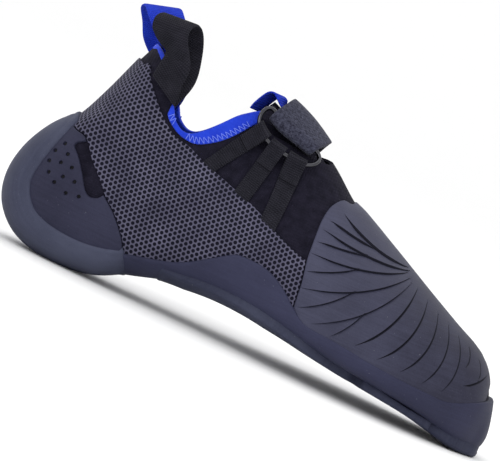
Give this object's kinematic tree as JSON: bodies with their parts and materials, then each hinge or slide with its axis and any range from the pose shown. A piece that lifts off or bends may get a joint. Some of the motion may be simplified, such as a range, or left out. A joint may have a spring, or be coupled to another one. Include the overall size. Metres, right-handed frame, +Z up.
{
  "type": "climbing shoe",
  "caption": "Low climbing shoe for the right foot with a rubber rand, ridged toe patch, perforated quarter, strap through a ring and heel pull loops.",
  "frame": {"origin": "middle of the heel's flat spot, on the floor that the shoe stands on", "axes": "+X along the foot to the toe, +Y to the medial side (the wearer's left), +Z up from the floor"},
  "size_m": [0.2416, 0.0856, 0.1238],
  "materials": {
    "rubber": "smooth matt",
    "sole_rubber": "smooth matt, slightly scuffed",
    "stretch_fabric": "fine matt knit",
    "mesh_overlay": "perforated film on fabric",
    "blue_fabric": "woven, stitched",
    "webbing": "woven tape",
    "strap_fabric": "microfibre",
    "insole_board": "brushed textile",
    "dark_metal": "dark plated wire"
  },
  "bodies": {
    "root": {"upper": "stretch_fabric", "insole": "insole_board", "tongue": "stretch_fabric", "rand": "rubber", "outsole": "sole_rubber", "heel_rubber": "sole_rubber", "heel_cup_lateral": "rubber", "heel_cup_medial": "rubber", "quarter_overlay": "mesh_overlay", "toe_patch": "rubber", "collar_binding_lateral": "blue_fabric", "collar_binding_medial": "blue_fabric", "strap": "strap_fabric", "tape_rear": "webbing", "tape_middle": "webbing", "tape_front": "webbing", "ring": "dark_metal", "pull_loop_lateral": "webbing", "pull_loop_medial": "blue_fabric", "tongue_loop": "blue_fabric"}
  },
  "joints": []
}
